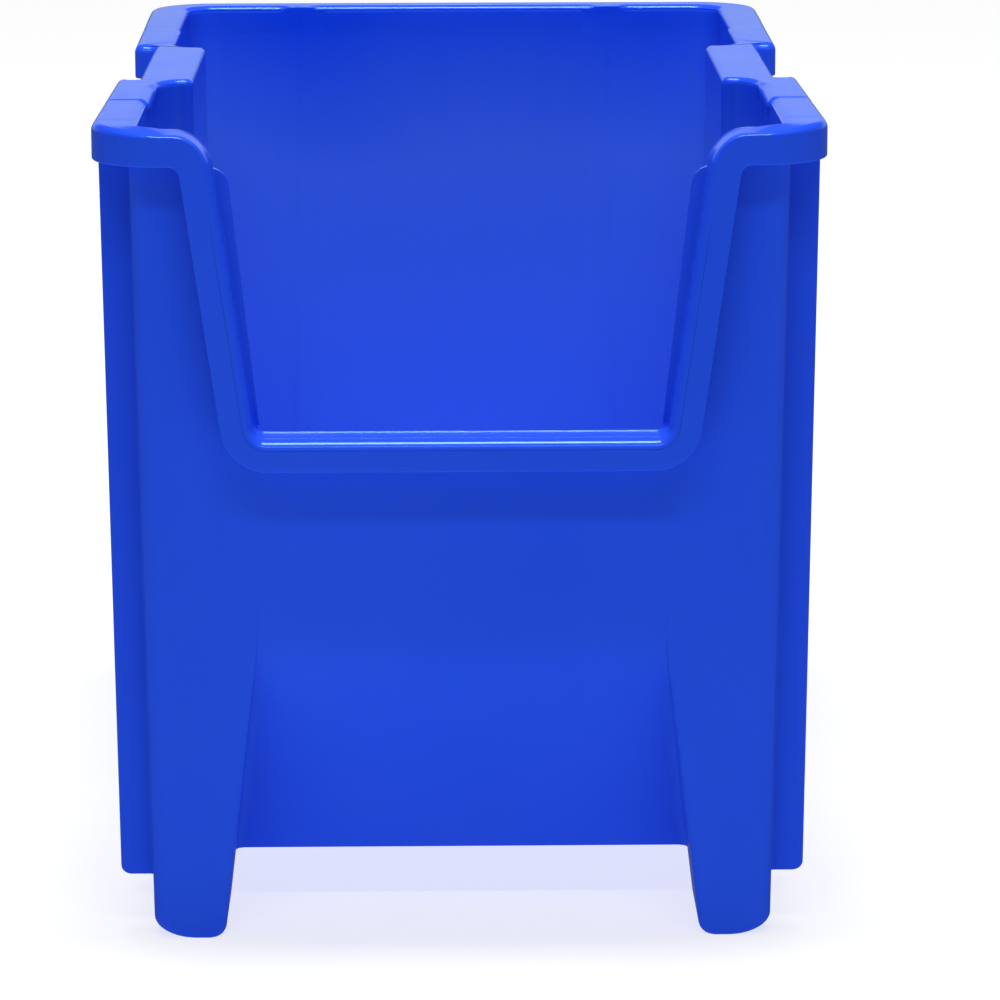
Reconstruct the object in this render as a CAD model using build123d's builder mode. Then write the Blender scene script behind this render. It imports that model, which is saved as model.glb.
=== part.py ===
# Stacking storage bin with a hopper front: one moulding, drawn region by region.
# X is across, Y runs from the hopper front to the back, Z is up. Millimetres.

from build123d import *
import os

os.makedirs("parts", exist_ok=True)

# overall
width = 276.1
depth = 444.5
height = 317.5
wall = 3.0

# tub, outer faces: value at the rim, value at the ground
side_face = (124.0, 119.5)
channel_face = (109.4, 105.0)
front_face = (12.5, 20.0)
back_face = (431.5, 426.5)
channel = (156.0, 265.0)
floor_under = 24.0
tub_top = height - wall

# rim
skirt = 14.0
rim_radius = 28.0
rim_corner = 138.29
rim_waist = 136.7
rim_channel = 128.2
rim_notch = (157.0, 271.0)

# hopper mouth, seen from the front
sill = 201.0
sill_half = 76.9
mouth_slope = 0.143
band = 13.0
mouth_end = 106.6
sill_split = 205.0

# recess under the front wall, and the legs
recess_top = 112.0
recess_half = (92.1, 78.6)
recess_back = 65.0
leg_back = 380.0
leg_side = 90.0

# where posts and walls are parted
post_end = 33.0
post_side = 105.0
front_split = 140.0
rear_split = 281.0
back_split = 411.0

# fins under the rim ledge, whose lower ends stand on the bin below
fin_positions = (post_end, 90, 335, 393)
fin_reach = (136.2, 132.7)

# guide rib behind each hopper edge: (x, z) from its top outer corner, inwards and down
guide_outline = ((95.5, 302), (86.9, 302), (77.1, 203), (81.2, 203))
guide_thickness = 11.0

# ribs under the floor
rib_positions = (108, 174.5, 241, 307.5, 374)
rib_drop = 8.0
spine_drop = 6.0
spine_x = 46.0

reach = 150
outside_all = 450


def from_front(d):
    return d - depth / 2


def drafted(pair, z):
    return pair[0] + (pair[1] - pair[0]) * (height - z) / height


def across(side, near, far):
    return (near, far) if side > 0 else (-far, -near)


def block(x0, x1, d0, d1, z0, z1):
    """Plain box between two corners, depth measured from the rim front."""
    with BuildPart() as made:
        with Locations(((x0 + x1) / 2, from_front((d0 + d1) / 2), (z0 + z1) / 2)):
            Box(x1 - x0, d1 - d0, z1 - z0)
    return made.part


def plan(corners, z):
    """Symmetric outline at height z from (x, d, radius) corners of the right half."""
    right = [(x, from_front(d), r) for x, d, r in corners]
    loop = right + [(-x, y, r) for x, y, r in reversed(right)]
    with BuildSketch(Plane.XY.offset(z)) as outline:
        with BuildLine():
            Polyline(*[(x, y) for x, y, r in loop], close=True)
        make_face()
        for x, y, r in loop:
            fillet(outline.vertices().sort_by_distance((x, y, 0))[0], r)
    return outline.sketch


def tub_plan(z, inset):
    """Outline of the tub at height z, drawn inset from its outer face."""
    x = drafted(side_face, z) - inset
    xm = drafted(channel_face, z) - inset
    near, far = channel[0] - inset, channel[1] + inset
    tight = 1 + inset * 0.8
    return plan([(x, drafted(front_face, z) + inset, 6 - inset * 0.6), (x, near, 13.2 - inset),
                 (xm, near, tight), (xm, far, tight), (x, far, 13.2 - inset),
                 (x, drafted(back_face, z) - inset, 16 - inset)], z)


def rim_plan(z, inset):
    """Outline of the rim, waisted towards the notch over each side channel."""
    x, waist, mid = rim_corner - inset, rim_waist - inset, rim_channel - inset
    near, far = rim_notch[0] - inset, rim_notch[1] + inset
    return plan([(x, inset, rim_radius - inset), (waist, near, 4 - inset / 2), (mid, near, 2),
                 (mid, far, 2), (waist, far, 4 - inset / 2),
                 (x, depth - inset, rim_radius - inset)], z)


def mouth(grow, foot, top, lower, upper, d0, d1):
    """Prism of the hopper mouth grown into the moulding, open above the height top."""
    low, half = sill - grow, sill_half + foot
    far = half + mouth_slope * (top - low)
    with BuildPart() as made:
        with BuildSketch(Plane.XZ.offset(-from_front(d0))) as face:
            with BuildLine():
                Polyline((-half, low), (half, low), (far, top), (reach, top), (reach, height + 30),
                         (-reach, height + 30), (-reach, top), (-far, top), close=True)
            make_face()
            for side in (-1, 1):
                fillet(face.vertices().sort_by_distance((side * half, low, 0))[0], lower)
                fillet(face.vertices().sort_by_distance((side * far, top, 0))[0], upper)
        extrude(amount=-(d1 - d0))
    return made.part


def wedge(grow):
    """Recess cut into the lower front, grown by a wall thickness for the inside."""
    top = recess_top + grow * 1.3
    low = recess_half[0] + grow
    high = low - (recess_half[0] - recess_half[1]) * top / recess_top
    face = drafted(front_face, recess_top)
    with BuildPart() as made:
        with BuildSketch(Plane.XZ.offset(-from_front(0))):
            with BuildLine():
                Polyline((-low, 0), (low, 0), (high, top), (-high, top), close=True)
            make_face()
        extrude(amount=-100)
        with BuildSketch(Plane.YZ):
            with BuildLine():
                Polyline((from_front(0), 0), (from_front(recess_back), 0),
                         (from_front(recess_back), floor_under + grow),
                         (from_front(face), top), (from_front(0), top), close=True)
            make_face()
        extrude(amount=reach, both=True, mode=Mode.INTERSECT)
    return made.part


def region(source, *keep, drop=()):
    """Part of a moulded volume inside the kept blocks and outside the dropped ones."""
    with BuildPart() as made:
        add(source)
        add(list(keep), mode=Mode.INTERSECT)
        for gone in drop:
            add(gone, mode=Mode.SUBTRACT)
    return made


def save(made, name):
    made.part.label = name
    export_step(made.part, f"parts/{name}.step")


# ---- volumes that the regions are cut from

with BuildPart() as outside:
    loft([tub_plan(0, 0), tub_plan(tub_top, 0)], ruled=True)

with BuildPart() as inside:
    loft([tub_plan(wall, wall), tub_plan(tub_top, wall)], ruled=True)

with BuildPart() as inside_rim:
    loft([tub_plan(tub_top, wall), tub_plan(height, wall)], ruled=True)

legs = []
pockets = []
for side in (-1, 1):
    legs.append(block(*across(side, 70, reach), 0, recess_back, 0, floor_under))
    legs.append(block(*across(side, leg_side, reach), leg_back, outside_all, 0, floor_under))
    pockets.append(block(*across(side, 70, reach), 0, recess_back - wall, 0, floor_under + wall))
    pockets.append(block(*across(side, leg_side + wall, reach), leg_back + wall, outside_all,
                         0, floor_under + wall))

with BuildPart() as body:
    add(outside.part)
    add([block(-reach, reach, 0, outside_all, floor_under, tub_top)] + legs, mode=Mode.INTERSECT)
    add(wedge(0), mode=Mode.SUBTRACT)

with BuildPart() as hollow:
    add(inside.part)
    add([block(-reach, reach, 0, outside_all, floor_under + wall, tub_top)] + pockets,
        mode=Mode.INTERSECT)
    add(wedge(wall), mode=Mode.SUBTRACT)

mouth_plate = mouth(wall, 2.6, tub_top, 6.0, 12.0, -5, 30)

with BuildPart() as shell:
    add(body.part)
    add(hollow.part, mode=Mode.SUBTRACT)
    add(mouth_plate, mode=Mode.SUBTRACT)

with BuildPart() as slab:
    add(inside.part)
    add(block(-reach, reach, recess_back, outside_all, floor_under, floor_under + wall),
        mode=Mode.INTERSECT)

with BuildPart() as walls:
    add(shell.part)
    add(slab.part, mode=Mode.SUBTRACT)

with BuildPart() as rim_under:
    add(rim_plan(height - skirt, wall))
    extrude(amount=skirt - wall)

with BuildPart() as rim:
    add(rim_plan(height - skirt, 0))
    extrude(amount=skirt)
    add(rim_under.part, mode=Mode.SUBTRACT)
    add(inside_rim.part, mode=Mode.SUBTRACT)
    add(block(-mouth_end, mouth_end, -1, 60, 250, height + 10), mode=Mode.SUBTRACT)

with BuildPart() as sleeve:
    add(mouth_plate)
    add(block(-mouth_end, mouth_end, 0, 25, 180, height), mode=Mode.INTERSECT)
    add(hollow.part, mode=Mode.SUBTRACT)
    add(inside_rim.part, mode=Mode.SUBTRACT)

with BuildPart() as hopper:
    add(mouth(band, 11.27, height - skirt, 15.5, 4.0, 0, wall))
    add(sleeve.part)
    add(mouth(0, 0, height, 3.5, 15.0, -5, 30), mode=Mode.SUBTRACT)
    add(block(-mouth_end, mouth_end, -1, 25, 180, height), mode=Mode.INTERSECT)

with BuildPart() as between_legs:
    with BuildSketch(Plane.XZ.offset(-from_front(0))):
        with BuildLine():
            Polyline((-recess_half[0], 0), (recess_half[0], 0), (recess_half[1], recess_top),
                     (-recess_half[1], recess_top), close=True)
        make_face()
    extrude(amount=-recess_back)

# ---- floor

save(region(slab.part, block(-reach, reach, recess_back, outside_all, 0, 60), drop=pockets),
     "floor_panel")

# ---- front

centre = block(-recess_half[1], recess_half[1], 0, 40, recess_top, 220)
below_floor = block(-reach, reach, 0, 100, 0, floor_under)
save(region(walls.part, centre), "front_wall")
save(region(walls.part, between_legs.part, drop=[below_floor]), "front_recess")

# ---- posts, side walls, legs and side rims

for side, tag in ((-1, "left"), (1, "right")):
    half = across(side, 60, reach)
    behind_post = block(*across(side, post_side, reach), post_end, 80, 0, height)
    save(region(walls.part, block(*half, 0, recess_back, floor_under, tub_top),
                drop=[centre, between_legs.part, behind_post]), f"{tag}_post")
    save(region(walls.part, block(*across(side, post_side, reach), post_end, front_split,
                                  floor_under, tub_top)), f"{tag}_wall_front")
    save(region(shell.part, block(*half, 0, recess_back, 0, floor_under)), f"{tag}_front_leg")
    save(region(shell.part, block(*half, leg_back, outside_all, 0, floor_under)), f"{tag}_rear_leg")
    save(region(rim.part, block(*half, -5, front_split, 290, height + 10)), f"{tag}_rim_front")
    for name, start, end in (("channel", front_split, rear_split), ("rear", rear_split, back_split)):
        save(region(walls.part, block(*half, start, end, floor_under, tub_top)),
             f"{tag}_wall_{name}")
        save(region(rim.part, block(*half, start, end, 290, height + 10)), f"{tag}_rim_{name}")

save(region(walls.part, block(-reach, reach, back_split, outside_all, floor_under, tub_top)),
     "back_wall")
save(region(rim.part, block(-reach, reach, back_split, outside_all, 290, height + 10)), "back_rim")

# ---- hopper edge

save(region(hopper.part, block(-reach, reach, -5, 30, 180, sill_split)), "hopper_sill")
for side, tag in ((-1, "left"), (1, "right")):
    save(region(hopper.part, block(*across(side, 0, reach), -5, 30, sill_split, height + 10)),
         f"{tag}_hopper_edge")

# ---- guide rib behind each hopper edge

for side, tag in ((-1, "left"), (1, "right")):
    with BuildPart() as guide:
        with BuildSketch(Plane.XZ.offset(-from_front(10))) as profile:
            with BuildLine():
                Polyline(*[(side * x, z) for x, z in guide_outline], close=True)
            make_face()
            nose = (side * guide_outline[1][0], guide_outline[1][1], 0)
            fillet(profile.vertices().sort_by_distance(nose)[0], 5)
        extrude(amount=-guide_thickness)
        add(hollow.part, mode=Mode.INTERSECT)
    save(guide, f"{tag}_guide_rib")

# ---- fins

for side, tag in ((-1, "left"), (1, "right")):
    for number, d in enumerate(fin_positions, 1):
        with BuildPart() as fin:
            with BuildSketch(Plane.XZ.offset(-from_front(d))):
                with BuildLine():
                    Polyline((side * 112, floor_under), (side * fin_reach[1], floor_under),
                             (side * fin_reach[0], height - skirt), (side * fin_reach[0], tub_top),
                             (side * 112, tub_top), close=True)
                make_face()
            extrude(amount=-wall)
            add(outside.part, mode=Mode.SUBTRACT)
            add(rim.part, mode=Mode.SUBTRACT)
        save(fin, f"{tag}_fin_{number}")

# ---- ribs under the floor

first, last = rib_positions[0] + wall / 2, rib_positions[-1] - wall / 2
spines = []
for side, tag in ((-1, "left"), (1, "right")):
    with BuildPart() as spine:
        add(block(side * spine_x - wall / 2, side * spine_x + wall / 2, first, last,
                  floor_under - spine_drop, floor_under))
    spines.append(spine.part)
    save(spine, f"{tag}_floor_spine")

for number, d in enumerate(rib_positions, 1):
    half = 96 if channel[0] < d < channel[1] else 112
    with BuildPart() as rib:
        add(block(-half, half, d - wall / 2, d + wall / 2, floor_under - rib_drop, floor_under))
        add(spines, mode=Mode.SUBTRACT)
    save(rib, f"floor_rib_{number}")
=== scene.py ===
# A stacking storage bin with a hopper front, moulded in one piece of blue plastic.
# Shapes are worked out in millimetres: x across, d back from the front of the rim, z up.

import bmesh
import bpy
import math
import numpy as np
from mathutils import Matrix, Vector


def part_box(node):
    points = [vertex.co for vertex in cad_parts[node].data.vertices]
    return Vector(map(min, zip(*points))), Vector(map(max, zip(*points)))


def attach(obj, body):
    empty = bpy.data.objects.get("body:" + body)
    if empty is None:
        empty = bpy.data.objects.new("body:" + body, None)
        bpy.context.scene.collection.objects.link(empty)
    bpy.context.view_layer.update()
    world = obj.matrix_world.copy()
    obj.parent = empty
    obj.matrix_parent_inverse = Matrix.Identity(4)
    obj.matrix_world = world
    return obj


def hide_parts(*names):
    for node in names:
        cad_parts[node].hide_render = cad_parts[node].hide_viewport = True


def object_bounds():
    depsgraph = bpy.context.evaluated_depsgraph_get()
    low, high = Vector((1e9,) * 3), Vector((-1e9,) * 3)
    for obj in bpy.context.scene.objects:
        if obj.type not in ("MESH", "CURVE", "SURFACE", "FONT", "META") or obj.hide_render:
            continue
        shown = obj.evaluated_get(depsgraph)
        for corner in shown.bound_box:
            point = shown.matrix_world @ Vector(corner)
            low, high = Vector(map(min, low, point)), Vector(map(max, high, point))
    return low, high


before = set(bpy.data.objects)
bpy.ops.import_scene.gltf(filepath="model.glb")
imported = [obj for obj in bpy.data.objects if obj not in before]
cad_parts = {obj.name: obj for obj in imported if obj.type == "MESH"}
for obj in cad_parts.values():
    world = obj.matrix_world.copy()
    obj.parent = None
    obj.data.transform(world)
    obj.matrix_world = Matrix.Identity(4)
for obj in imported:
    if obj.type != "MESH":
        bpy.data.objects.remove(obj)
cadLow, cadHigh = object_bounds()
mm = 0.001
weldDistance = 0.000004
frontY = cadLow.y / mm
depth = (cadHigh.y - cadLow.y) / mm
height = cadHigh.z / mm


def edgeOf(node, axis, end):
    # one face of a CAD node's box; depth is counted from the front of the rim
    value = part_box(node)[end][axis] / mm
    return value - frontY if axis == 1 else value


def smooth(t):
    # 0 below 0, 1 above 1, and 3t^2 - 2t^3 between
    t = np.clip(t, 0, 1)
    return t * t * (3 - 2 * t)


def rounding(t, radius):
    # how far a quarter round of this radius stands back, at distance t from its end
    t = np.clip(t, 0, radius)
    return radius - np.sqrt(np.maximum(radius ** 2 - (radius - t) ** 2, 0))


def drafted(pair, z):
    # straight line from the value at the rim to the value at the ground
    return pair[0] + (pair[1] - pair[0]) * (height - z) / height


def cornerPath(corners, before, after, runs, arcSteps=10, headings=None):
    # A path through corners with rounded turns. Each turn is a quarter ellipse fitted between its
    # two straights: P - a * before * (1 - sin u) + b * after * (1 - cos u), u from 0 to 90 degrees.
    # corners has shape (..., corners, 2); it returns points, unit tangents and each turn's start.
    corners = np.asarray(corners, float)
    before = np.broadcast_to(np.asarray(before, float), corners.shape[:-1])
    after = np.broadcast_to(np.asarray(after, float), corners.shape[:-1])
    if headings is None:
        headings = np.diff(corners, axis=-2)
        headings = headings / np.linalg.norm(headings, axis=-1, keepdims=True)
    headings = np.broadcast_to(headings, corners.shape[:-2] + (corners.shape[-2] - 1, 2))
    u = np.linspace(0, math.pi / 2, arcSteps + 1)[:, None]
    points, tangents, marks, count = [], [], [], 0
    last = corners.shape[-2] - 1
    for k in range(last):
        a = headings[..., k:k + 1, :]
        start = corners[..., k:k + 1, :] + a * after[..., k:k + 1, None]
        end = corners[..., k + 1:k + 2, :] - a * before[..., k + 1:k + 2, None]
        t = np.linspace(0, 1, runs[k] + 1)[:-1, None]
        points.append(start + (end - start) * t)
        tangents.append(np.broadcast_to(a, points[-1].shape))
        count += runs[k]
        marks.append(count)
        reach = before[..., k + 1:k + 2, None]
        if k + 1 < last and np.max(reach) > 0:
            b = headings[..., k + 1:k + 2, :]
            leave = after[..., k + 1:k + 2, None]
            corner = corners[..., k + 1:k + 2, :]
            points.append((corner - a * reach * (1 - np.sin(u)) + b * leave * (1 - np.cos(u)))[..., :-1, :])
            turn = a * np.maximum(reach, 1e-3) * np.cos(u) + b * np.maximum(leave, 1e-3) * np.sin(u)
            tangents.append((turn / np.linalg.norm(turn, axis=-1, keepdims=True))[..., :-1, :])
            count += arcSteps
    points.append(corners[..., last:, :])
    tangents.append(np.broadcast_to(headings[..., last - 1:, :], points[-1].shape))
    return np.concatenate(points, -2), np.concatenate(tangents, -2), marks


class Surface:
    # grids of quads and flat polygons, gathered in millimetres and made into one mesh;
    # kind is the material slot of the faces added next
    def __init__(self):
        self.points = []
        self.quads = []
        self.polygons = []
        self.count = 0
        self.kinds = []
        self.polygonKinds = []
        self.kind = 0

    def add(self, x, d, z):
        stacked = np.stack(np.broadcast_arrays(x, d, z), -1)
        self.points.append(stacked.reshape(-1, 3))
        ids = np.arange(self.count, self.count + stacked[..., 0].size).reshape(stacked.shape[:-1])
        self.count += ids.size
        return ids

    def skin(self, ids, flip=False, wrap=False):
        # each cell of the grid becomes one quad
        if wrap:
            ids = np.concatenate([ids, ids[:, :1]], 1)
        quads = np.stack([ids[:-1, :-1], ids[:-1, 1:], ids[1:, 1:], ids[1:, :-1]], -1).reshape(-1, 4)
        self.quads.append(quads[:, ::-1] if flip else quads)
        self.kinds.append(np.full(len(quads), self.kind))

    def cap(self, ids, flip=False):
        self.polygons.append(ids[::-1] if flip else ids)
        self.polygonKinds.append(self.kind)

    def mesh(self, name, bothSides=False):
        points = np.concatenate(self.points)
        quads = np.concatenate(self.quads)
        polygons = list(self.polygons)
        copies = 2 if bothSides else 1
        kinds = [np.concatenate(self.kinds)] * copies + [np.array(self.polygonKinds, int)] * copies
        if bothSides:
            quads = np.concatenate([quads, quads[:, ::-1] + len(points)])
            polygons += [p[::-1] + len(points) for p in self.polygons]
            points = np.concatenate([points, points * (-1, 1, 1)])
        points = (points + (0, frontY, 0)) * mm
        made = bpy.data.meshes.new(name)
        made.from_pydata(points.tolist(), [], quads.tolist() + [p.tolist() for p in polygons])
        made.polygons.foreach_set("material_index", np.concatenate(kinds))
        work = bmesh.new()
        work.from_mesh(made)
        bmesh.ops.remove_doubles(work, verts=work.verts, dist=weldDistance)
        bmesh.ops.dissolve_degenerate(work, edges=work.edges, dist=weldDistance)
        work.to_mesh(made)
        work.free()
        made.validate()
        return made


def makePiece(name, surface, nodes, bothSides=False, sharp=40):
    obj = bpy.data.objects.new(name, surface.mesh(name, bothSides))
    bpy.context.scene.collection.objects.link(obj)
    obj.data.materials.append(plastic)
    # pieces with inside faces also take the second plastic, painted paler with a painted sheen of reflected
    # light
    if any(kinds.any() for kinds in surface.kinds):
        obj.data.materials.append(paintedSheenPlastic)
    obj.data.polygons.foreach_set("use_smooth", np.ones(len(obj.data.polygons), bool))
    obj.data.set_sharp_from_angle(angle=math.radians(sharp))
    weights = obj.modifiers.new("shading", "WEIGHTED_NORMAL")
    weights.keep_sharp = True
    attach(obj, "root")
    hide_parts(*nodes)
    print("made", name, len(obj.data.polygons), "faces")
    return obj


finish = {
    "colour": (0.021, 0.090, 0.89),
    "deepColour": (0.016, 0.079, 0.84),
    "specularTint": (0.24, 0.56, 1.0),
    "insideColour": (0.064, 0.184, 0.83),
    "upperColour": (0.006, 0.070, 0.88),
    "paleEnd": (0.275, 0.345),
    "roughness": (0.12, 0.21),
    "paleUneven": 0.05,
    "markShare": 0.3,
    "grain": 0.000003,
    "waves": 0.00030,
}


def setRange(node, fromLow, fromHigh, toLow, toHigh):
    for key, value in (("From Min", fromLow), ("From Max", fromHigh), ("To Min", toLow), ("To Max", toHigh)):
        node.inputs[key].default_value = value


def plasticMaterial(name, colour, deepColour, fade=None):
    made = bpy.data.materials.new(name)
    made.use_nodes = True
    nodes, links = made.node_tree.nodes, made.node_tree.links
    nodes.clear()
    out = nodes.new("ShaderNodeOutputMaterial")
    shader = nodes.new("ShaderNodeBsdfPrincipled")
    shader.inputs["IOR"].default_value = 1.49
    shader.inputs["Specular Tint"].default_value = (*finish["specularTint"], 1)
    links.new(shader.outputs[0], out.inputs[0])
    place = nodes.new("ShaderNodeTexCoord")

    def noise(scale, detail, stretch=(1, 1, 1)):
        turn = nodes.new("ShaderNodeMapping")
        turn.inputs["Scale"].default_value = stretch
        links.new(place.outputs["Object"], turn.inputs[0])
        tex = nodes.new("ShaderNodeTexNoise")
        tex.inputs["Scale"].default_value = scale
        tex.inputs["Detail"].default_value = detail
        links.new(turn.outputs[0], tex.inputs["Vector"])
        return tex.outputs["Fac"]

    def spread(source, low, high, fromLow=0.15, fromHigh=0.85):
        scale = nodes.new("ShaderNodeMapRange")
        setRange(scale, fromLow, fromHigh, low, high)
        links.new(source, scale.inputs["Value"])
        return scale.outputs[0]

    def bump(source, distance, below=None):
        relief = nodes.new("ShaderNodeBump")
        relief.inputs["Distance"].default_value = distance
        links.new(source, relief.inputs["Height"])
        if below:
            links.new(below, relief.inputs["Normal"])
        return relief.outputs[0]

    # the colour drifts a little, in patches drawn out upwards
    flow = noise(9, 3, (1, 1, 0.35))
    mix = nodes.new("ShaderNodeMix")
    mix.data_type = "RGBA"
    if fade:
        # the paler blue of the painted sheen ends below the rim, along an uneven line
        up = nodes.new("ShaderNodeSeparateXYZ")
        links.new(place.outputs["Object"], up.inputs[0])
        uneven = nodes.new("ShaderNodeMath")
        uneven.operation = "MULTIPLY_ADD"
        uneven.inputs[1].default_value = finish["paleUneven"]
        links.new(flow, uneven.inputs[0])
        links.new(up.outputs["Z"], uneven.inputs[2])
        links.new(spread(uneven.outputs[0], 0, 1, *fade), mix.inputs[0])
    else:
        links.new(spread(flow, 0, 1), mix.inputs[0])
    mix.inputs[6].default_value = (*colour, 1)
    mix.inputs[7].default_value = (*deepColour, 1)
    links.new(mix.outputs[2], shader.inputs["Base Color"])
    # the gloss is uneven, with faint vertical draw marks
    marks = noise(240, 2, (1, 1, 0.02))
    patches = noise(30, 4)
    both = nodes.new("ShaderNodeMath")
    both.operation = "MULTIPLY_ADD"
    both.inputs[1].default_value = finish["markShare"]
    links.new(marks, both.inputs[0])
    links.new(patches, both.inputs[2])
    links.new(spread(both.outputs[0], *finish["roughness"], 0.3, 1.1), shader.inputs["Roughness"])
    # slow waves of shrinkage, draw marks and a fine grain
    waves = bump(noise(7, 1), finish["waves"])
    drawn = bump(marks, finish["grain"] * 0.5, waves)
    fine = bump(noise(1400, 2), finish["grain"], drawn)
    links.new(fine, shader.inputs["Normal"])
    return made


plastic = plasticMaterial("blue_polypropylene", finish["colour"], finish["deepColour"])
# the inside is painted paler, a painted sheen of reflected light, and it deepens toward the rim
paintedSheenPlastic = plasticMaterial("blue_polypropylene_painted_sheen", finish["insideColour"],
                                finish["upperColour"], finish["paleEnd"])
print("plastic ready")

# the tub: walls, recess, floor and legs as one closed shell

tub = {
    "wall": 3.0,
    "side": (124.0, 119.5),
    "channel": (109.4, 105.0),
    "front": (12.5, 20.0),
    "back": (431.5, 426.5),
    "channelEnds": (156.0, 265.0),
    "columnRadius": 6.0,
    "channelRadius": 13.2,
    "channelRun": 26.5,
    "channelCorner": 1.0,
    "rearRadius": 16.0,
    "recessTop": 112.0,
    "recessHalf": (92.1, 78.6),
    "recessSoftness": 7.0,
    "cheekFoot": 4.0,
    "cheekEdge": 2.8,
    "rearLegSide": 90.0,
    "legDraw": {"outer": 12.5, "inner": 4.6, "end": 0.8},
    "legRise": {"outer": 8.0, "inner": 5.0, "end": 0.8},
    "pocketRadius": 3.0,
    "floorRadius": 5.0,
    "underRadius": 2.0,
    "underDrop": 0.7,
    "bandPlace": (65.0, 70.5),
    "bandHalf": (5.2, 6.6),
    "bandRise": 0.45,
    "recessGone": 180.0,
    "recessFade": 30.0,
    "backJoint": 50.0,
    "turnSteps": 10,
    "footRows": 6.0,
    "recessRows": (96.0, 132.0),
    "upperRow": 303.0,
}
mouth = {
    "sill": 201.0,
    "half": 76.9,
    "slope": 0.143,
    "lowerRadius": 3.5,
    "upperRadius": 15.0,
    "band": 13.0,
    "bandHalf": 88.17,
    "bandLowerRadius": 15.5,
    "bandUpperRadius": 3.4,
    "embed": 1.5,
}
floorUnder = edgeOf("floor_panel", 2, 0) - tub["underDrop"]
floorTop = edgeOf("floor_panel", 2, 1)
legBack = edgeOf("left_front_leg", 1, 1)
rearLegFront = edgeOf("left_rear_leg", 1, 0)
mouthCorner = mouth["half"] + mouth["slope"] * (height - mouth["sill"])
mouthAngle = math.atan(mouth["slope"])
mouthTangent = mouth["upperRadius"] * math.tan((math.pi / 2 - mouthAngle) / 2)
mouthEnd = mouthCorner + mouthTangent
shellEdge = mouth["sill"] - mouth["embed"]


def mouthEdge(z):
    # x of the hopper edge, set into the rim: a sloping line, then a quarter round to the ledge
    line = mouth["half"] + mouth["slope"] * (z - mouth["sill"]) + mouth["embed"]
    radius = mouth["upperRadius"] - mouth["embed"]
    rise = np.clip(z - (height - mouth["upperRadius"]), 0, radius)
    arc = mouthEnd - np.sqrt(radius ** 2 - rise ** 2)
    return np.where(rise > radius * math.sin(mouthAngle), arc, line)


def cheekX(z):
    # x of the leg's inner edge: sloping beside the recess, then easing over to the hopper edge
    low, high = tub["recessHalf"]
    beside = low + (high - low) * np.minimum(z, tub["recessTop"]) / tub["recessTop"]
    over = mouthEdge(np.maximum(z, shellEdge)) - tub["cheekEdge"]
    ease = smooth((z - tub["recessTop"]) / (shellEdge - tub["recessTop"]))
    return beside + (over - beside) * ease


def recessDepth(z, inset):
    # depth of the sloping recess panel behind the front face, with a soft start at its top
    span = tub["recessTop"] - floorUnder
    slope = (legBack - drafted(tub["front"], floorUnder)) / span
    u = tub["recessTop"] + inset * 0.25 - np.maximum(z, floorUnder)
    soft = tub["recessSoftness"]
    gone = smooth((tub["recessGone"] - z) / tub["recessFade"])
    return slope * 0.5 * (u + np.sqrt(u * u + soft ** 2)) * gone


def tubRing(z, inset, draw=None):
    # plan outline of the right half at each height, from front centre to back centre;
    # draw says how far the outer, inner and end faces of the legs stand back at each height
    draw = draw or {"outer": 0, "inner": 0, "end": 0}
    x = drafted(tub["side"], z) - inset - draw["outer"]
    xm = drafted(tub["channel"], z) - inset
    near = tub["channelEnds"][0] - inset + 0 * z
    far = tub["channelEnds"][1] + inset + 0 * z
    front = drafted(tub["front"], z) + inset + draw["end"]
    back = drafted(tub["back"], z) - inset - draw["end"]
    cheek = cheekX(z) + inset + draw["inner"]
    sink = recessDepth(z, inset)
    foot = tub["cheekFoot"] + inset
    edge = tub["cheekEdge"] - inset * 0.8
    share = sink / (sink + foot + edge)
    column = tub["columnRadius"] - inset * 0.6
    wide = tub["channelRadius"] - inset
    tight = tub["channelCorner"] + inset * 0.8
    rear = tub["rearRadius"] - inset
    zero = 0 * z
    run = tub["channelRun"] - inset
    leg = legBack - inset - draw["end"] + zero
    rearLeg = rearLegFront + inset + draw["end"] + zero
    legSide = tub["rearLegSide"] + inset + draw["inner"] + zero
    rows = [
        (zero, front + sink, 0, 0), (cheek, front + sink, foot, foot * share),
        (cheek, front, edge * share, edge), (x, front, column, column), (x, leg, 0, 0),
        (x, near, run, wide), (xm, near, tight, tight), (xm, far, tight, tight),
        (x, far, wide, run), (x, rearLeg, 0, 0), (x, back, rear, rear),
        (legSide, back, 0, 0), (zero + tub["backJoint"], back, 0, 0), (zero, back, 0, 0)]
    corners = np.stack([np.stack([r[0], r[1]], -1) for r in rows], -2)
    before = np.stack([zero + r[2] for r in rows], -1)
    after = np.stack([zero + r[3] for r in rows], -1)
    headings = np.array([(1, 0), (0, -1), (1, 0), (0, 1), (0, 1), (-1, 0), (0, 1), (1, 0),
                         (0, 1), (0, 1), (-1, 0), (-1, 0), (-1, 0)], float)
    runs = [20, 6, 10, 8, 16, 1, 16, 1, 16, 8, 6, 30, 10]
    points, tangents, marks = cornerPath(corners, before, after, runs, tub["turnSteps"], headings)
    normals = np.stack([tangents[..., 1], -tangents[..., 0]], -1)
    return points, normals, marks


def backBands(points, z):
    # two low bands run up the inside of the back wall
    x = points[..., 0]
    centre = drafted(tub["bandPlace"], z)[:, None]
    half = drafted(tub["bandHalf"], z)[:, None]
    rise = smooth((half - np.abs(x - centre)) / 1.5 + 0.5) * (points[..., 1] > depth * 0.9)
    points[..., 1] -= tub["bandRise"] * rise
    return points


def farFromLegs(points, reach=14.0):
    # 1 along the free edge of the floor, easing to 0 where a leg carries on down
    x, d = points[..., 0], points[..., 1]
    side = smooth((d - legBack) / reach) * smooth((rearLegFront - d) / reach)
    rear = smooth((tub["rearLegSide"] - x) / reach) * (d > rearLegFront)
    return np.maximum(side, rear)


def legRows(radius, low, high):
    # heights that follow a quarter round, then a straight
    turn = low + radius * (1 - np.cos(np.linspace(0, math.pi / 2, 11)))
    return np.concatenate([turn, np.linspace(low + radius, high, 5)[1:]])


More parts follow.
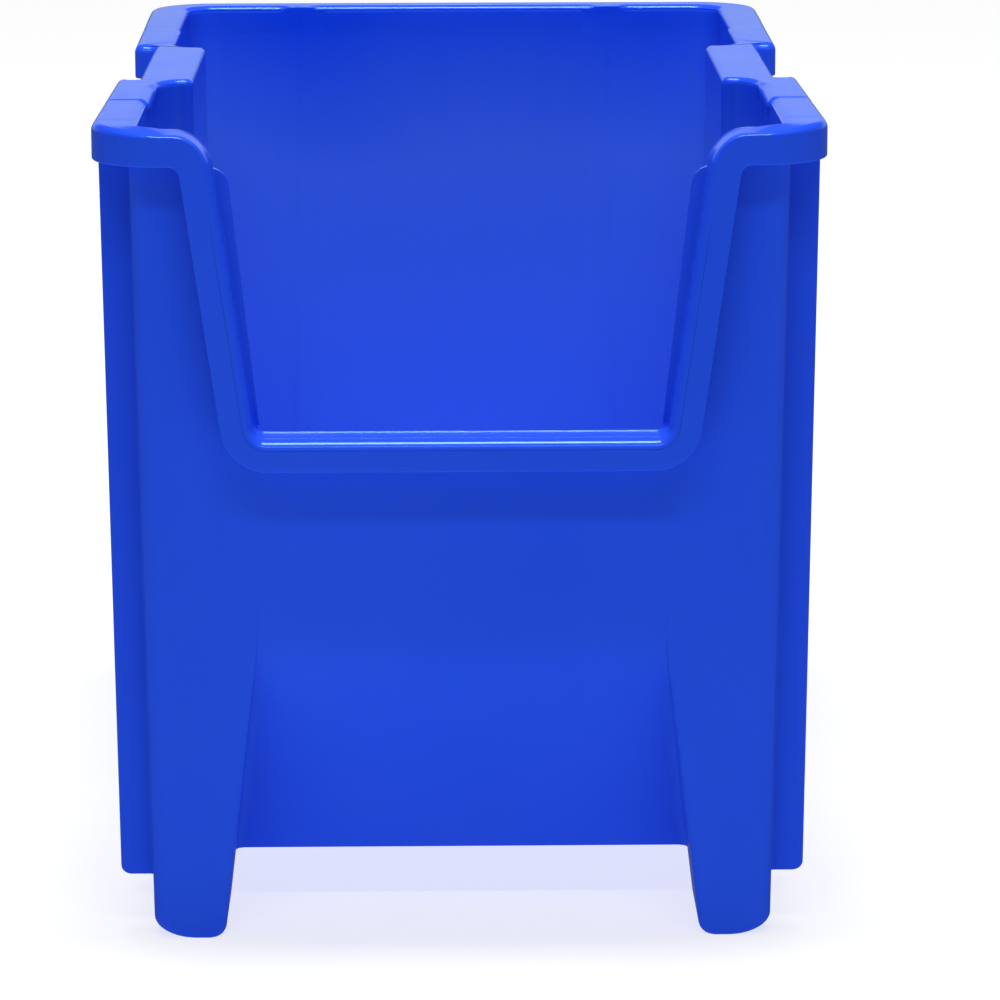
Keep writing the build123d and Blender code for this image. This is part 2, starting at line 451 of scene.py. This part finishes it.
def footDraw(z, inset):
    # how far each side of a leg stands back at height z: a quarter ellipse, wider than it is high
    if inset:
        return {side: rounding(z - inset, tub["pocketRadius"]) for side in tub["legDraw"]}
    return {side: rounding(z, tub["legRise"][side]) * draw / tub["legRise"][side]
            for side, draw in tub["legDraw"].items()}


def buildSkin(surface, inset, bottom, flip):
    # rows of points lie closest where the wall turns: at its foot, the recess's top and the rim
    footHigh = bottom + tub["footRows"]
    recessLow, recessHigh = tub["recessRows"]
    upper = np.concatenate([
        np.linspace(0, 1, 7)[:-1] ** 2 * tub["footRows"] + bottom,
        np.linspace(footHigh, recessLow, 12)[:-1], np.linspace(recessLow, recessHigh, 19)[:-1],
        np.linspace(recessHigh, shellEdge, 8)[:-1], np.linspace(shellEdge, tub["upperRow"], 14)[:-1],
        height - mouth["upperRadius"] + (mouth["upperRadius"] - mouth["embed"])
        * np.sin(np.linspace(0.1, math.pi / 2, 10))])
    points, normals, marks = tubRing(upper, inset)
    radius = tub["floorRadius"] if inset else tub["underRadius"]
    push = rounding(upper - bottom, radius)[:, None] * farFromLegs(points)
    points -= normals * push[..., None]
    if inset:
        points = backBands(points, upper)
    ids = surface.add(points[..., 0], points[..., 1], upper[:, None])
    sillRow = int(np.argmin(abs(upper - shellEdge)))
    postStart = marks[1] + tub["turnSteps"]
    surface.skin(ids[:sillRow + 1, :postStart + 1], flip)
    surface.skin(ids[:, postStart:], flip)
    # legs, from the floor down to the ground
    legZ = legRows(tub["pocketRadius"] if inset else max(tub["legRise"].values()), inset, bottom)
    shrink = footDraw(legZ, inset)
    points, normals, marks = tubRing(legZ, inset, shrink)
    zLeg = legZ[:, None]
    legs = []
    cheekStart, sideEnd = marks[0] + tub["turnSteps"], marks[3]
    rearStart, rearEnd = marks[8], marks[10]
    # the two free faces of each leg close its outline behind the wall
    for start, end, corner in (
            (cheekStart, sideEnd, (points[:, cheekStart, 0], legBack - inset - shrink["end"])),
            (rearStart, rearEnd, (tub["rearLegSide"] + inset + shrink["inner"],
                                  rearLegFront + inset + shrink["end"]))):
        ring = points[:, start:end + 1].copy()
        front = start == cheekStart
        if front:
            ring[:, -1, 1] = corner[1]
        else:
            ring[:, 0, 1] = corner[1]
            ring[:, -1, 0] = corner[0]
        turn = np.stack(np.broadcast_arrays(*corner), -1)
        t = np.linspace(0, 1, 9)[:, None]
        first, last = ring[:, -1:], ring[:, :1]
        loop = np.concatenate([
            first + (turn[:, None] - first) * t, (turn[:, None] + (last - turn[:, None]) * t)[:, 1:]], 1)
        whole = np.concatenate([ring, loop[:, 1:-1]], 1)
        legIds = surface.add(whole[..., 0], whole[..., 1], zLeg)
        surface.skin(legIds, flip, wrap=True)
        surface.cap(legIds[0], not flip)
        back = surface.add(loop[-1, :, 0], loop[-1, :, 1], bottom)
        legs.append(back)
    base = ids[0]
    outline = np.concatenate([base[:cheekStart + 1], legs[0][::-1][1:], base[sideEnd + 1:rearStart],
                              legs[1][::-1], base[rearEnd + 1:]])
    surface.cap(outline, not flip)
    edge = np.concatenate([ids[sillRow, :postStart], ids[sillRow:, postStart], ids[-1, postStart + 1:]])
    return edge


def buildTub():
    surface = Surface()
    outer = buildSkin(surface, 0.0, floorUnder, False)
    # the inner skin takes the plastic painted paler with a painted sheen of reflected light
    surface.kind = 1
    inner = buildSkin(surface, tub["wall"], floorTop, True)
    surface.kind = 0
    surface.skin(np.stack([outer, inner]), False)
    nodes = ["floor_panel", "front_wall", "front_recess", "back_wall"]
    for side in ("left", "right"):
        nodes += [f"{side}_{part}" for part in (
            "post", "wall_front", "wall_channel", "wall_rear", "front_leg", "rear_leg")]
    return makePiece("tub", surface, nodes, bothSides=True)


buildTub()

# the rim: ledge, skirt and hopper edge as one closed loop

rim = {
    "skirt": 14.0,
    "frontCorner": 4.2,
    "plate": 3.0,
    "thickness": 3.0,
    "outerRadius": 3.0,
    "lipOuterRadius": 5.0,
    "sideRadius": 4.2,
    "innerRadius": 2.5,
    "mouthRadius": 1.3,
    "backRadius": 3.0,
    "bandRadius": 0.9,
    "lipRadius": 0.8,
    "cornerRadius": 28.0,
    "corner": 138.29,
    "waist": 136.7,
    "channel": 128.2,
    "notch": (157.0, 271.0),
    "notchRadii": (4.0, 2.0),
    "seams": (32.0, 90.0, 336.0, 394.0),
    "seamHalf": 0.35,
    "levels": (0.0, 0.1, 0.32),
    "padWidth": 1.0,
    "padEnd": 139.0,
    "padFall": 6.0,
    "padEase": 4.0,
    "proud": 0.12,
    "leg": 10.5,
    "root": (13.0, 25.0),
    "rootDepth": 0.3,
    "groove": 0.5,
    "sillLow": (0.4, 0.9),
    "frontLow": (1.5, 2.0),
    "fallRuns": ((122.0, 16.0), (137.0, 28.0)),
    "arcSteps": 22,
    "beside": (16.0, 140.0),
    "besideRun": (4.0, 12.0),
    "backStart": 405.0,
    "backRun": 22.0,
    "heel": 0.4,
    "underRound": 1.5,
    "embed": (2.6, 1.6),
    "split": 108.6,
}


def rimPaths():
    # matched paths of the inner edge, the outer edge and the skirt's foot, front centre to back centre
    wall = tub["wall"]
    runs = [26, 22, 2]
    inner, tangent, marks = cornerPath(
        [(0, mouth["sill"]), (mouth["half"], mouth["sill"]), (mouthCorner, height), (rim["split"], height)],
        [0, mouth["lowerRadius"], mouthTangent, 0], [0, mouth["lowerRadius"], mouthTangent, 0], runs, 14)
    low = mouth["sill"] - mouth["band"]
    high = height - rim["skirt"]
    bandCorner = mouth["bandHalf"] + mouth["slope"] * (high - low)
    bandTurns = [0, mouth["bandLowerRadius"], mouth["bandUpperRadius"], 0]
    outer, _, _ = cornerPath(
        [(0, low), (mouth["bandHalf"], low), (bandCorner, high), (rim["split"], high)],
        bandTurns, bandTurns, runs, 14)
    x, z = inner[:, 0], inner[:, 1]
    hopper = {
        "a": np.stack([x, drafted(tub["front"], z) + wall, z], -1),
        "b": np.stack([x, 0 * x, z], -1),
        "c": np.stack([outer[:, 0], 0 * x, outer[:, 1]], -1),
        "down": np.stack([tangent[:, 1], 0 * x, -tangent[:, 0]], -1),
        "na": np.stack([0 * x, 0 * x - 1, 0 * x], -1),
        "nb": np.stack([0 * x, 0 * x - 1, 0 * x], -1)}
    sideX, channelX = tub["side"][0] - wall, tub["channel"][0] - wall
    near, far = tub["channelEnds"][0] - wall, tub["channelEnds"][1] + wall
    seams = [s + e * rim["seamHalf"] for s in rim["seams"] for e in (-1, 1)]
    wide, tight = tub["channelRadius"] - wall, tub["channelCorner"] + wall * 0.8
    frontInside = tub["front"][0] + wall
    insideRows = [(rim["split"], frontInside, 0), (sideX, frontInside, rim["frontCorner"])]
    insideRows += [(sideX, s, 0) for s in seams[:4]]
    insideRows += [(sideX, near, wide), (channelX, near, tight), (channelX, far, tight), (sideX, far, wide)]
    insideRows += [(sideX, s, 0) for s in seams[4:]]
    insideRows += [(sideX, tub["back"][0] - wall, tub["rearRadius"] - wall), (0, tub["back"][0] - wall, 0)]
    start, end = rim["cornerRadius"], rim["notch"][0]

    def waist(d):
        away = min(d, depth - d)
        return rim["corner"] + (rim["waist"] - rim["corner"]) * (away - start) / (end - start)

    outsideRows = [(rim["split"], 0, 0), (rim["corner"], 0, rim["cornerRadius"])]
    outsideRows += [(waist(s), s, 0) for s in seams[:4]]
    big, small = rim["notchRadii"]
    outsideRows += [(rim["waist"], rim["notch"][0], big), (rim["channel"], rim["notch"][0], small),
                    (rim["channel"], rim["notch"][1], small), (rim["waist"], rim["notch"][1], big)]
    outsideRows += [(waist(s), s, 0) for s in seams[4:]]
    outsideRows += [(rim["corner"], depth, rim["cornerRadius"]), (0, depth, 0)]
    runs = [3, 2, 1, 10, 1, 8, 1, 14, 1, 8, 1, 10, 1, 4, 60]
    paths = []
    for rows, run in ((insideRows, tub["channelRun"] - wall), (outsideRows, big)):
        table = np.array(rows, float)
        before, after = table[:, 2].copy(), table[:, 2].copy()
        before[6], after[9] = run, run
        paths.append(cornerPath(table[:, :2], before, after, runs, 12)[:2])
    (a, ta), (b, tb) = paths
    top = np.full(len(a), height)
    ledge = {
        "a": np.column_stack([a, top]), "b": np.column_stack([b, top]),
        "c": np.column_stack([b, top - rim["skirt"]]),
        "down": np.tile((0.0, 0.0, -1.0), (len(a), 1)),
        "na": np.column_stack([ta[:, 1], -ta[:, 0], 0 * top]),
        "nb": np.column_stack([tb[:, 1], -tb[:, 0], 0 * top])}
    return {key: np.concatenate([hopper[key][:-1], ledge[key]]) for key in hopper}, len(x) - 1


def buildRim():
    # the section at each step of the path is a closed L, anchored at the two edges:
    # down the inside, over the rounded inner edge, across, over the outer edge, down the skirt and back
    path, split = rimPaths()
    a, b, c, down, na, nb = (path[key] for key in ("a", "b", "c", "down", "na", "nb"))
    skirtLine = c - b
    skirt = np.linalg.norm(skirtLine, axis=1, keepdims=True)
    skirtLine = skirtLine / skirt
    drafts = {face: abs(tub[face][0] - tub[face][1]) / height for face in ("side", "front", "back")}
    draft = np.abs(na[:, :1]) * drafts["side"] + np.abs(na[:, 1:2]) * np.where(
        na[:, 1:2] < 0, drafts["front"], drafts["back"])
    inside = down + na * draft * down[:, 2:]
    # steps along the path count from the start of the ledge, which the mouth's upper turn runs up to
    steps = np.arange(len(a)) - split
    onLedge = steps >= 0
    toLedge = smooth((steps + rim["arcSteps"]) / 14)[:, None]
    ds = a[:, 1]
    flat, raised, pad = rim["levels"]
    end = rim["padEnd"]
    first, second = rim["seams"][:2]
    mirrored = np.minimum(ds, first + rim["seams"][-1] - ds)
    half, ease = rim["seamHalf"], rim["padEase"]
    level = np.interp(
        mirrored, [first - half, first + half, second - half, second + half, end, end + rim["padFall"]],
        [flat, raised, raised, pad, pad, flat]) * onLedge
    widen = np.interp(
        mirrored, [second - half, second + half, end - ease, end + ease], [0, 1, 1, 0]) * onLedge
    level, widen = level[:, None], widen[:, None] * rim["padWidth"]
    # the front runs down toward the mouth, its outer edge more than its inner edge
    arc = smooth((steps + rim["arcSteps"]) / 12)

    def frontFall(edge, side):
        start, width = rim["fallRuns"][side]
        sill, front = rim["sillLow"][side], rim["frontLow"][side]
        fall = (sill + (front - sill) * arc) * smooth((start - edge[:, 0]) / width)
        return (fall * (edge[:, 1] < rim["cornerRadius"]))[:, None]

    outerLevel = level - frontFall(b, 1)
    level = level - frontFall(a, 0)
    groove = rim["groove"] * (1 - toLedge)
    rows = []

    def fromInner(out, q, pulled=1.0):
        rows.append(a + na * (out - widen * pulled) + inside * q - down * level * pulled)

    def fromOuter(out, q, raisedToo=0.0):
        rows.append(b + nb * out + skirtLine * (skirt * q) - down * outerLevel * raisedToo)

    proud = rim["proud"]
    outerRadius = rim["lipOuterRadius"] + (rim["outerRadius"] - rim["lipOuterRadius"]) * toLedge
    # the inner edge is rounded most beside the front pads
    innerRadius = np.where(onLedge, rim["innerRadius"], rim["mouthRadius"])
    (near, far), (nearRun, farRun) = rim["beside"], rim["besideRun"]
    beside = smooth((ds - near) / nearRun) * smooth((far - ds) / farRun) * onLedge
    innerRadius = innerRadius + (rim["sideRadius"] - innerRadius) * beside
    innerRadius = innerRadius + (rim["backRadius"] - innerRadius) * smooth(
        (ds - rim["backStart"]) / rim["backRun"])
    # the two wall bands run up through that round
    onBand = smooth((tub["bandHalf"][1] + 2 - np.abs(a[:, 0] - tub["bandPlace"][1])) / 3) * (
        ds > rim["backStart"])
    innerRadius = innerRadius + (rim["bandRadius"] - innerRadius) * onBand
    innerRadius = innerRadius[:, None]
    turn = np.linspace(0, math.pi / 2, 7)
    root = np.interp(steps, [0, 3], rim["root"])[:, None]
    fromInner(rim["rootDepth"], root, 0.0)
    for t, pulled in ((0.65, 0.0), (0.3, 0.6)):
        fromInner(-proud, innerRadius + (rim["leg"] - innerRadius) * t, pulled)
    for u in turn:
        fromInner(-proud + innerRadius * (1 - math.cos(u)), innerRadius * (1 - math.sin(u)))
    innerTop = a + na * (innerRadius - proud - widen)
    outerTop = b - nb * outerRadius
    # the mouth's groove drops steeply behind a narrow bead and rises slowly to the front
    for t in (0.015, 0.03, 0.045, 0.06, 0.1, 0.5, 0.75, 0.86, 0.94):
        dip = float(smooth(t / 0.06) * smooth((1 - t) / 0.4))
        across = level + (outerLevel - level) * t
        rows.append(innerTop + (outerTop - innerTop) * t + down * (groove * dip - across))
    for u in turn:
        fromOuter(-outerRadius * (1 - math.sin(u)), outerRadius / rim["skirt"] * (1 - math.cos(u)),
                  math.cos(u))
    for q in (0.35, 0.6, 0.85):
        fromOuter(0, q)
    lip = rim["lipRadius"]
    for u in turn[::2]:
        fromOuter(-lip * (1 - math.cos(u)), 1 - lip * (1 - math.sin(u)) / rim["skirt"])
    thick = rim["thickness"]
    heel, under, plate = rim["heel"], rim["underRound"], rim["plate"]
    for out, below in (
            (-thick + heel, rim["skirt"]), (-thick, rim["skirt"] - heel), (-thick, rim["skirt"] / 2),
            (-thick, plate + under), (-thick - heel, plate + heel), (-thick - under, plate)):
        fromOuter(out, below / rim["skirt"])
    outerEmbed, innerEmbed = rim["embed"]
    rows.append(a + na * outerEmbed + down * plate)
    rows.append(a + na * innerEmbed + down * plate)
    rows.append(a + na * innerEmbed + inside * root)
    section = np.stack(rows, 1)
    surface = Surface()
    ids = surface.add(section[..., 0], section[..., 1], section[..., 2])
    # the rim's inside faces take the plastic painted paler with a painted sheen of reflected light
    surface.kind = 1
    surface.skin(ids[:, :4], True)
    surface.kind = 0
    surface.skin(np.concatenate([ids[:, 3:], ids[:, :1]], 1), True)
    nodes = ["back_rim", "hopper_sill"]
    for side in ("left", "right"):
        nodes += [f"{side}_{part}" for part in ("rim_front", "rim_channel", "rim_rear", "hopper_edge")]
    return makePiece("rim", surface, nodes, bothSides=True, sharp=50)


buildRim()

# fins, floor ribs and guide ribs: blades carried along a line

blade = {
    "thickness": 3.0,
    "tipRadius": 0.9,
    "flare": 1.6,
    "finFoot": 3.4,
    "finDroop": 0.9,
    "finDrop": 1.8,
    "finNarrow": 132.7,
    "finEase": 6.0,
    "ribEnd": 2.0,
    "buried": 1.0,
}


def bladeSurface(run, root, tip, half, place, flare, tipRadius,
                 startRadius=0.0, endRadius=0.0, droop=0.0):
    # a blade stands from root to tip on both sides of its line, with a flared root and a rounded tip;
    # its ends may draw in by a quarter round. place turns (run, out, across) into x, d, z.
    run = np.asarray(run, float)
    fromStart, fromEnd = np.abs(run - run[0]), np.abs(run - run[-1])
    back = rounding(fromStart, startRadius) if startRadius else 0 * run
    back = back + (rounding(fromEnd, endRadius) if endRadius else 0)
    tip = tip - back * np.sign(tip - root)
    half = half - np.minimum(back, 0.4) if np.ndim(half) == 0 else half - back * 0.5
    grow = np.sign(np.mean(tip - root))
    length = np.abs(tip - root)[:, None]
    half = (half + 0 * run)[:, None]
    u = np.linspace(0, math.pi / 2, 6)
    foot = flare * (1 - np.cos(u))
    stations = np.concatenate([[-blade["buried"]], foot])
    widths = np.concatenate([[flare], flare * (1 - np.sin(u))])
    out = np.concatenate([stations + 0 * length, (length - tipRadius) * 0.5 + flare * 0.5 + 0 * length[:, :1],
                          length - tipRadius + tipRadius * np.sin(u)], 1)
    wide = np.concatenate([half + widths, half, half - tipRadius * (1 - np.cos(u))], 1)
    outLoop = np.concatenate([out, out[:, ::-1]], 1)
    acrossLoop = np.concatenate([wide, -wide[:, ::-1]], 1)
    # at its far end a fin reaches down its wall by a quarter round
    reach = rounding(np.maximum(outLoop, 0), max(droop, 1e-6)) * smooth(1 - fromEnd / 8)[:, None]
    along = run[:, None] + np.sign(run[-1] - run[0]) * reach * (outLoop < droop)
    x, d, z = place(along, root[:, None] + grow * outLoop, acrossLoop)
    surface = Surface()
    ids = surface.add(x, d, z)
    surface.skin(ids, wrap=True)
    columns = out.shape[1]
    for row, flip in ((0, True), (-1, False)):
        sides = np.stack([ids[row, :columns], ids[row, columns:][::-1]])
        surface.skin(sides, flip)
    return surface


def outward(surface):
    # turns every face round if the closed surface encloses a negative volume
    p = np.concatenate(surface.points)
    q = np.concatenate(surface.quads)
    corner = [p[q[:, k]] for k in range(4)]
    volume = np.einsum("ij,ij->", corner[0], np.cross(corner[1], corner[2]))
    volume += np.einsum("ij,ij->", corner[0], np.cross(corner[2], corner[3]))
    if volume < 0:
        surface.quads = [quads[:, ::-1] for quads in surface.quads]
    return surface


for side, tag in ((-1, "left"), (1, "right")):
    for number in range(1, 5):
        node = f"{tag}_fin_{number}"
        middle = (edgeOf(node, 1, 0) + edgeOf(node, 1, 1)) / 2
        foot, top = edgeOf(node, 2, 0) - blade["finDrop"], height - 2
        widest = max(abs(edgeOf(node, 0, 0)), abs(edgeOf(node, 0, 1)))
        ease, narrow = blade["finEase"], blade["finNarrow"]
        run = np.concatenate([
            np.linspace(top, foot + ease, 14),
            foot + ease - ease * np.sin(np.linspace(0.15, math.pi / 2, 9))])
        reach = narrow + (widest - narrow) * (run - foot) / (height - rim["skirt"] - foot)
        surface = bladeSurface(
            run, drafted(tub["side"], run), reach, blade["thickness"] / 2,
            lambda r, o, w: (side * o, middle + w, r), blade["flare"], blade["tipRadius"],
            endRadius=blade["finFoot"], droop=blade["finDroop"])
        makePiece(node, outward(surface), [node])

for number in range(1, 6):
    node = f"floor_rib_{number}"
    middle = (edgeOf(node, 1, 0) + edgeOf(node, 1, 1)) / 2
    end = edgeOf(node, 0, 1)
    run = end * np.sin(np.linspace(-math.pi / 2, math.pi / 2, 31))
    surface = bladeSurface(
        run, 0 * run + floorUnder, 0 * run + edgeOf(node, 2, 0), blade["thickness"] / 2,
        lambda r, o, w: (r, middle + w, o), blade["flare"], blade["tipRadius"],
        blade["ribEnd"], blade["ribEnd"])
    makePiece(node, outward(surface), [node])

for side, tag in ((-1, "left"), (1, "right")):
    node = f"{tag}_floor_spine"
    middle = (edgeOf(node, 0, 0) + edgeOf(node, 0, 1)) / 2
    first, last = edgeOf(node, 1, 0), edgeOf(node, 1, 1)
    run = np.linspace(first - 1, last + 1, 24)
    surface = bladeSurface(
        run, 0 * run + floorUnder, 0 * run + edgeOf(node, 2, 0), blade["thickness"] / 2,
        lambda r, o, w: (middle + w, r, o), blade["flare"], blade["tipRadius"])
    makePiece(node, outward(surface), [node])

guide = {
    "outer": (95.5, 81.2),
    "inner": (88.0, 77.1),
    "heights": (301.5, 203.0),
    "end": 21.0,
    "nose": 6.5,
    "flare": 0.8,
    "tipRadius": 1.6,
    "startRadius": 1.5,
}
for side, tag in ((-1, "left"), (1, "right")):
    node = f"{tag}_guide_rib"
    top, foot = guide["heights"]
    run = top - (top - foot) * (1 - np.cos(np.linspace(0, math.pi / 2, 30)))
    along = (top - run) / (top - foot)
    outer = guide["outer"][0] + (guide["outer"][1] - guide["outer"][0]) * along
    inner = guide["inner"][0] + (guide["inner"][1] - guide["inner"][0]) * along
    inner = inner + rounding(top - run, guide["nose"])
    surface = bladeSurface(
        run, drafted(tub["front"], run) + tub["wall"], 0 * run + guide["end"], (outer - inner) / 2,
        lambda r, o, w: (side * ((outer + inner)[:, None] / 2 + w), o, r),
        guide["flare"], guide["tipRadius"], guide["startRadius"])
    makePiece(node, outward(surface), [node])

print("blades ready")

# floor, light and camera

studio = {
    "floorSize": 12.0,
    "floorColour": (0.40, 0.40, 0.40),
    "floorGlow": 0.72,
    "sweepGlow": 0.92,
    "worldColour": (0.80, 1.0, 0.98),
    "below": 0.22,
    "lowEdge": (-0.04, 0.06),
    "behind": (0.45, 0.9),
    "sweep": (0.2, 1.6),
    "horizon": 0.53,
    "sky": 0.06,
    "room": 0.3,
    "horizonTop": 0.20,
    "skyStart": 0.36,
    "lamps": {
        "overhead": ((0.0, -0.05, 1.9), (0, 0.0, 0.2), (0.8, 0.6), 37),
        "overhead_front": ((0.0, -1.5, 2.0), (0, 0, 0.2), (1.6, 0.16), 13.5)},
    "camera": (-11.72, -1944.8, 547.25),
    "pitch": 12.117,
    "yaw": 0.894,
    "roll": 0.115,
    "lens": 168.8,
}


def buildStage():
    side = studio["floorSize"] / 2
    made = bpy.data.meshes.new("floor")
    corners = [(-side, -side, 0), (side, -side, 0), (side, side, 0), (-side, side, 0)]
    made.from_pydata(corners, [], [(0, 1, 2, 3)])
    obj = bpy.data.objects.new("floor", made)
    bpy.context.scene.collection.objects.link(obj)
    pale = bpy.data.materials.new("pale_floor")
    pale.use_nodes = True
    shader = pale.node_tree.nodes["Principled BSDF"]
    shader.inputs["Base Color"].default_value = (*studio["floorColour"], 1)
    shader.inputs["Roughness"].default_value = 0.9
    shader.inputs["Specular IOR Level"].default_value = 0.1
    shader.inputs["Emission Color"].default_value = (1, 1, 1, 1)
    # the sweep behind the bin is lit more strongly than the floor round it
    nodes, links = pale.node_tree.nodes, pale.node_tree.links
    place = nodes.new("ShaderNodeTexCoord")
    parts = nodes.new("ShaderNodeSeparateXYZ")
    rise = nodes.new("ShaderNodeMapRange")
    rise.interpolation_type = "SMOOTHSTEP"
    setRange(rise, *studio["sweep"], studio["floorGlow"], studio["sweepGlow"])
    links.new(place.outputs["Object"], parts.inputs[0])
    links.new(parts.outputs["Y"], rise.inputs["Value"])
    links.new(rise.outputs[0], shader.inputs["Emission Strength"])
    made.materials.append(pale)
    # reflections look past the pale floor to the dim room below the horizon
    obj.visible_glossy = False


def softbox(name, place, target, size, power):
    lamp = bpy.data.lights.new(name, "AREA")
    lamp.shape = "RECTANGLE"
    lamp.size, lamp.size_y = size
    lamp.energy = power
    obj = bpy.data.objects.new(name, lamp)
    obj.location = place
    way = Vector(target) - Vector(place)
    obj.rotation_euler = way.to_track_quat("-Z", "Y").to_euler()
    bpy.context.scene.collection.objects.link(obj)


def buildStudio():
    # a pale sweep near the horizon fades to a dimmer room above, below and to the front of it
    world = bpy.data.worlds.new("studio")
    world.use_nodes = True
    nodes, links = world.node_tree.nodes, world.node_tree.links
    place = nodes.new("ShaderNodeTexCoord")
    parts = nodes.new("ShaderNodeSeparateXYZ")
    fade = nodes.new("ShaderNodeMapRange")
    fade.interpolation_type = "SMOOTHSTEP"
    setRange(fade, studio["horizonTop"], studio["skyStart"], studio["horizon"], studio["sky"])
    links.new(place.outputs["Generated"], parts.inputs[0])
    links.new(parts.outputs["Z"], fade.inputs["Value"])
    behind = nodes.new("ShaderNodeMapRange")
    setRange(behind, *studio["behind"], studio["room"], 1)
    links.new(parts.outputs["Y"], behind.inputs["Value"])
    below = nodes.new("ShaderNodeMapRange")
    below.interpolation_type = "SMOOTHSTEP"
    setRange(below, *studio["lowEdge"], studio["below"], 1)
    links.new(parts.outputs["Z"], below.inputs["Value"])
    product = fade.outputs[0]
    for factor in (behind, below):
        both = nodes.new("ShaderNodeMath")
        both.operation = "MULTIPLY"
        links.new(product, both.inputs[0])
        links.new(factor.outputs[0], both.inputs[1])
        product = both.outputs[0]
    links.new(product, nodes["Background"].inputs["Strength"])
    nodes["Background"].inputs["Color"].default_value = (*studio["worldColour"], 1)
    bpy.context.scene.world = world
    for name, (place, target, size, power) in studio["lamps"].items():
        softbox(name, place, target, size, power)
    bpy.context.scene.view_settings.view_transform = "Standard"


def buildCamera():
    lens = bpy.data.cameras.new("camera")
    lens.lens = studio["lens"]
    lens.sensor_width = 36
    lens.clip_end = 50
    obj = bpy.data.objects.new("camera", lens)
    obj.location = [value * mm for value in studio["camera"]]
    obj.rotation_mode = "XYZ"
    obj.rotation_euler = [math.radians(a) for a in (90 - studio["pitch"], studio["roll"], -studio["yaw"])]
    bpy.context.scene.collection.objects.link(obj)
    bpy.context.scene.camera = obj


buildStage()
buildStudio()
buildCamera()
print("studio ready")
